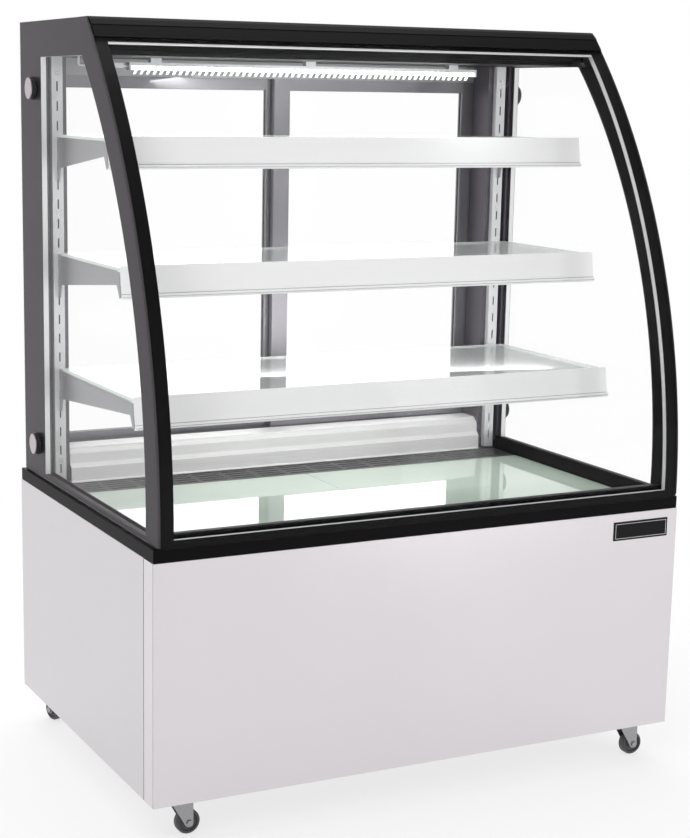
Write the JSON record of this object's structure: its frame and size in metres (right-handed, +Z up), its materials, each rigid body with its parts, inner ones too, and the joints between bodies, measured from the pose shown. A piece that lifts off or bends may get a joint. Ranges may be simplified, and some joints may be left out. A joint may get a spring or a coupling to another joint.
{
  "type": "glass display showcase",
  "caption": "Refrigerated glass display showcase with curved front glass, glass shelves, sliding rear doors, stainless lower body and swivel casters.",
  "frame": {"origin": "on the floor, in the middle of the showcase's width and depth", "axes": "+Z up, the curved front glass faces -Y, +X to the right of a customer who looks at the front"},
  "size_m": [1.2132, 0.81, 1.564],
  "materials": {
    "stainless_front": "satin brushed",
    "stainless": "satin brushed",
    "black_trim": "semi-gloss black",
    "nameplate": "gloss black",
    "tub_liner": "satin white liner",
    "fin_aluminium": "plain",
    "fan_plastic": "matte",
    "grille_black": "satin black",
    "deck_mirror": "green-tinted mirror glass",
    "glass": "clear",
    "spacer": "satin",
    "standoff": "satin face with a black edge",
    "roof": "satin black",
    "rear_frame": "satin",
    "pilaster": "satin",
    "screw": "polished",
    "bracket": "satin",
    "shelf_glass": "clear with green edges",
    "shelf_rail": "satin white",
    "door_frame": "satin anodised",
    "lamp_body": "satin",
    "lamp_diffuser": "milky",
    "compressor": "gloss black",
    "copper": "bright copper",
    "condenser": "dark grey",
    "control": "matte black",
    "button": "matte",
    "rocker": "gloss",
    "caster_zinc": "bright zinc",
    "wheel": "grey tread"
  },
  "bodies": {
    "cabinet": {"base_pan": "stainless", "front_panel": "stainless_front", "side_panel_left": "stainless", "side_panel_right": "stainless", "rear_panel": "stainless", "trim_frame": "black_trim", "nameplate": "nameplate", "insulated_tub": "tub_liner", "evaporator": "fin_aluminium", "return_grille": "grille_black", "duct_panel": "stainless", "deck_glass": "deck_mirror", "front_glass": "glass", "front_spacer": "spacer", "side_glass_left": "glass", "side_glass_right": "glass", "side_spacers": "spacer", "corner_profiles": "black_trim", "inner_sills": "black_trim", "standoffs": "standoff", "roof_panel": "roof", "top_profile": "black_trim", "rear_header": "rear_frame", "rear_sill": "rear_frame", "rear_posts": "rear_frame", "pilasters": "pilaster", "pilaster_screws": "screw", "shelf_brackets": "bracket", "shelf_glass_lower": "shelf_glass", "shelf_glass_middle": "shelf_glass", "shelf_glass_upper": "shelf_glass", "shelf_rail_lower": "shelf_rail", "shelf_rail_middle": "shelf_rail", "shelf_rail_upper": "shelf_rail", "led_bar": "lamp_body", "led_strip": "lamp_diffuser", "compressor": "compressor", "copper_lines": "copper", "condenser": "condenser", "control_box": "control", "cable_gland": "control", "caster_plates": "caster_zinc"},
    "door_left": {"door_frame_left": "door_frame", "door_glass_left": "glass"},
    "door_right": {"door_frame_right": "door_frame", "door_glass_right": "glass"},
    "evaporator_fan_rotor": {"evaporator_fan": "fan_plastic"},
    "condenser_fan_rotor": {"condenser_fan": "fan_plastic"},
    "set_button": {"button_set": "button"},
    "up_button": {"button_up": "button"},
    "down_button": {"button_down": "button"},
    "switch_rocker": {"light_switch": "rocker"},
    "swivel_front_left": {"caster_fork_front_left": "caster_zinc"},
    "roller_front_left": {"wheel_front_left": "wheel"},
    "swivel_front_right": {"caster_fork_front_right": "caster_zinc"},
    "roller_front_right": {"wheel_front_right": "wheel"},
    "swivel_rear_left": {"caster_fork_rear_left": "caster_zinc"},
    "roller_rear_left": {"wheel_rear_left": "wheel"},
    "swivel_rear_right": {"caster_fork_rear_right": "caster_zinc"},
    "roller_rear_right": {"wheel_rear_right": "wheel"}
  },
  "joints": [
    {"name": "door_left_slide", "type": "slide", "parent": "cabinet", "child": "door_left", "axis": [1, 0, 0], "range_m": [0, 0.505]},
    {"name": "door_right_slide", "type": "slide", "parent": "cabinet", "child": "door_right", "axis": [-1, 0, 0], "range_m": [0, 0.525]},
    {"name": "evaporator_fan_spin", "type": "hinge", "parent": "cabinet", "child": "evaporator_fan_rotor", "pos_m": [0, 0.085, 0.514], "axis": [0, 1, 0], "continuous": true},
    {"name": "condenser_fan_spin", "type": "hinge", "parent": "cabinet", "child": "condenser_fan_rotor", "pos_m": [0.26, 0.255, 0.242], "axis": [0, 1, 0], "continuous": true},
    {"name": "up_button_press", "type": "slide", "parent": "cabinet", "child": "up_button", "axis": [0, -1, 0], "range_m": [0, 0.001], "stiffness_N_per_m": 400, "springref_m": -0.0005},
    {"name": "set_button_press", "type": "slide", "parent": "cabinet", "child": "set_button", "axis": [0, -1, 0], "range_m": [0, 0.001], "stiffness_N_per_m": 400, "springref_m": -0.0005},
    {"name": "down_button_press", "type": "slide", "parent": "cabinet", "child": "down_button", "axis": [0, -1, 0], "range_m": [0, 0.001], "stiffness_N_per_m": 400, "springref_m": -0.0005},
    {"name": "light_switch_rock", "type": "hinge", "parent": "cabinet", "child": "switch_rocker", "pos_m": [-0.24, 0.4, 0.39], "axis": [1, 0, 0], "range_deg": [-16, 0]},
    {"name": "swivel_front_left_turn", "type": "hinge", "parent": "cabinet", "child": "swivel_front_left", "pos_m": [-0.53, -0.335, 0.075], "axis": [0, 0, 1], "continuous": true},
    {"name": "wheel_front_left_roll", "type": "hinge", "parent": "swivel_front_left", "child": "roller_front_left", "pos_m": [-0.506, -0.335, 0.025], "axis": [0, 1, 0], "continuous": true},
    {"name": "swivel_front_right_turn", "type": "hinge", "parent": "cabinet", "child": "swivel_front_right", "pos_m": [0.53, -0.335, 0.075], "axis": [0, 0, 1], "continuous": true},
    {"name": "wheel_front_right_roll", "type": "hinge", "parent": "swivel_front_right", "child": "roller_front_right", "pos_m": [0.554, -0.335, 0.025], "axis": [0, 1, 0], "continuous": true},
    {"name": "swivel_rear_left_turn", "type": "hinge", "parent": "cabinet", "child": "swivel_rear_left", "pos_m": [-0.53, 0.356, 0.075], "axis": [0, 0, 1], "continuous": true},
    {"name": "wheel_rear_left_roll", "type": "hinge", "parent": "swivel_rear_left", "child": "roller_rear_left", "pos_m": [-0.53621, 0.37918, 0.025], "axis": [-0.9659, -0.2588, 0], "continuous": true},
    {"name": "swivel_rear_right_turn", "type": "hinge", "parent": "cabinet", "child": "swivel_rear_right", "pos_m": [0.53, 0.356, 0.075], "axis": [0, 0, 1], "continuous": true},
    {"name": "wheel_rear_right_roll", "type": "hinge", "parent": "swivel_rear_right", "child": "roller_rear_right", "pos_m": [0.55255, 0.36421, 0.025], "axis": [-0.342, 0.9397, 0], "continuous": true}
  ]
}
